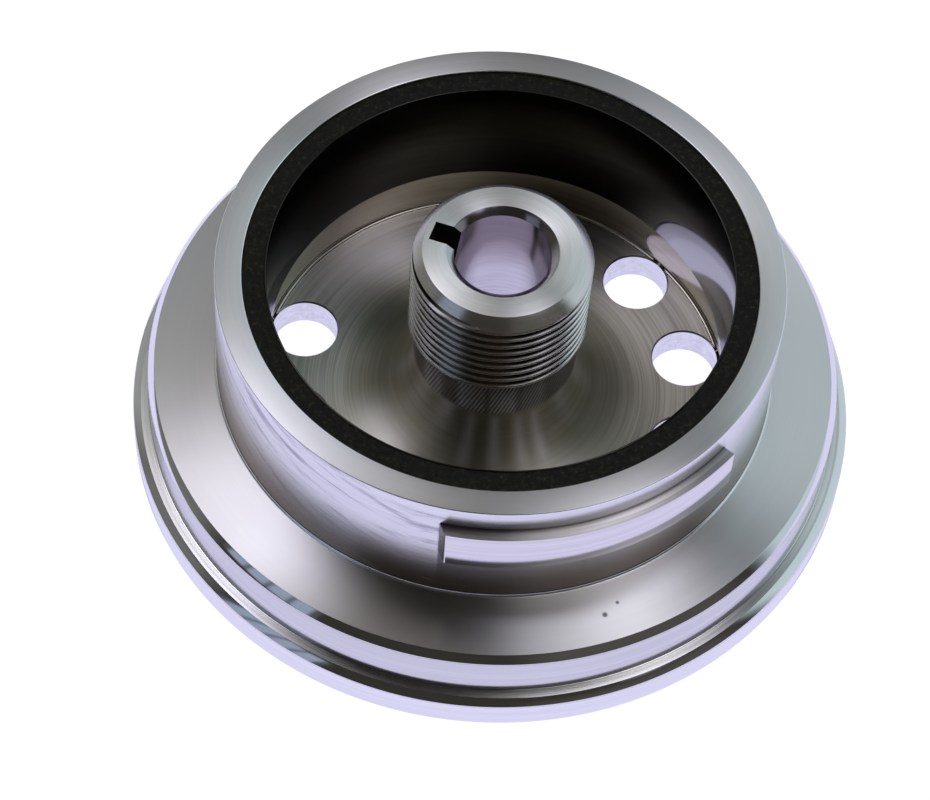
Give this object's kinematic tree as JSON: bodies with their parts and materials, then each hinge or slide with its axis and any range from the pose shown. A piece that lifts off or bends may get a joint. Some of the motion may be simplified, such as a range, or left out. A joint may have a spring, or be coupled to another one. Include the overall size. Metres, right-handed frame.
{
  "type": "magneto rotor",
  "caption": "Turned steel magneto rotor: a magnet-lined cup with a trigger pad, a stepped flange, a threaded hub with a taper bore and keyway, and web holes.",
  "frame": {"origin": "on the crank axis, in the plane of the back face that the rotor rests on", "axes": "+Z along the crank axis, out of the open end of the cup; the keyway is at 165.5 degrees from +X, near -X, and the trigger pad faces -Y"},
  "size_m": [0.131, 0.131, 0.05],
  "materials": {
    "turned_steel": "fine-turned bare steel, lightly oiled",
    "black_moulding": "black filled resin, slightly rough",
    "sleeve_steel": "thin smooth sheet, dark",
    "magnet": "sintered ferrite, ground faces"
  },
  "bodies": {
    "root": {"rotor_body": "turned_steel", "magnet_moulding": "black_moulding", "magnet_sleeve": "sleeve_steel", "magnet_01": "magnet", "magnet_02": "magnet", "magnet_03": "magnet", "magnet_04": "magnet", "magnet_05": "magnet", "magnet_06": "magnet", "magnet_07": "magnet", "magnet_08": "magnet", "magnet_09": "magnet", "magnet_10": "magnet", "magnet_11": "magnet", "magnet_12": "magnet"}
  },
  "joints": []
}
